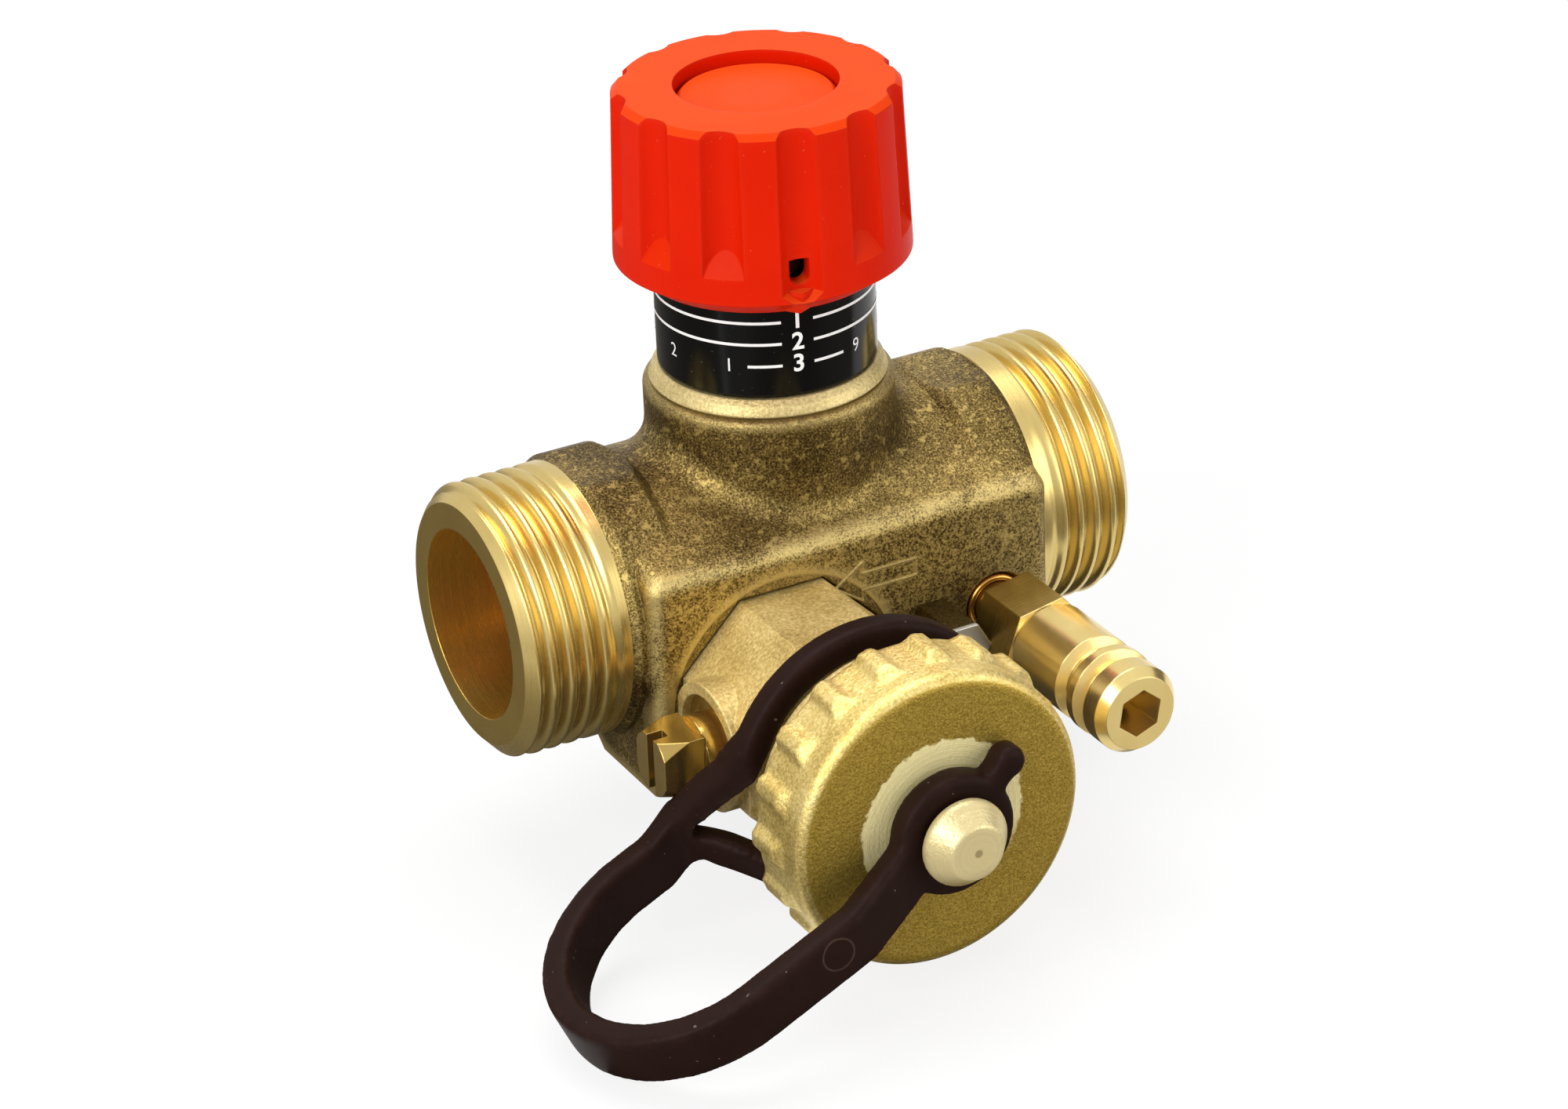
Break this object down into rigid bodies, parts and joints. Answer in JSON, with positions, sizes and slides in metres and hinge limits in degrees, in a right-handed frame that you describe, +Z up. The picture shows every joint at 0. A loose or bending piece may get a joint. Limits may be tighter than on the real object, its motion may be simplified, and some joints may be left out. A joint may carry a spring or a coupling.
{
  "type": "balancing valve",
  "caption": "Brass balancing valve with male-threaded pipe ends, a red turning handle over a black setting scale, a capped drain cock with a rubber strap, and a test nipple.",
  "frame": {"origin": "centre of the outlet end face, on the flow axis", "axes": "+X along the flow axis from the outlet to the inlet, +Z up the spindle to the handle, -Y out of the drain cock"},
  "size_m": [0.0748, 0.0643, 0.0723],
  "materials": {
    "body_brass": "blasted, dark",
    "drain_brass": "blasted",
    "turned_brass": "turned, bright",
    "handle_red": "satin",
    "scale_black": "gloss",
    "strap_rubber": "satin",
    "seal_rubber": "matte",
    "screw_steel": "bright"
  },
  "bodies": {
    "valve": {"valve_body": "body_brass", "bonnet": "turned_brass", "bonnet_seal": "seal_rubber", "scale_sleeve": "scale_black", "drain_body": "drain_brass", "drain_seal": "seal_rubber", "cap_strap": "strap_rubber", "test_nipple": "turned_brass", "nipple_seal": "seal_rubber", "port_plug": "screw_steel"},
    "cone": {"valve_cone": "turned_brass", "cone_seal": "seal_rubber"},
    "handle": {"handle": "handle_red", "handle_cover": "handle_red", "handle_screw": "screw_steel", "spindle": "turned_brass", "stem_seal_low": "seal_rubber", "stem_seal_high": "seal_rubber"},
    "drain_spindle": {"drain_spindle": "turned_brass", "drain_spindle_seal": "seal_rubber"},
    "gasket": {"cap_gasket": "seal_rubber"},
    "cap": {"drain_cap": "drain_brass"}
  },
  "joints": [
    {"name": "cone_lift", "type": "slide", "parent": "valve", "child": "cone", "axis": [0, 0, 1], "range_m": [-0.00484, 0.0022]},
    {"name": "handle_turn", "type": "hinge", "parent": "cone", "child": "handle", "pos_m": [0.0325, 0, 0.03], "axis": [0, 0, 1], "range_deg": [-792.5, 360.5]},
    {"name": "drain_turn", "type": "hinge", "parent": "valve", "child": "drain_spindle", "pos_m": [0.0251, -0.0206, -0.0075], "axis": [-1, 0, 0], "range_deg": [0, 90]},
    {"name": "cap_travel", "type": "slide", "parent": "valve", "child": "gasket", "axis": [0, -1, 0], "range_m": [0, 0.00544], "deforming": ["cap_strap"]},
    {"name": "cap_turn", "type": "hinge", "parent": "gasket", "child": "cap", "pos_m": [0.0251, -0.04, -0.0075], "axis": [0, -1, 0], "range_deg": [0, 1080.5]}
  ],
  "couplings": [
    {"joint": "handle_turn", "follows": "cone_lift", "rad_per_m": 2856},
    {"joint": "cap_turn", "follows": "cap_travel", "rad_per_m": 3463.7}
  ]
}
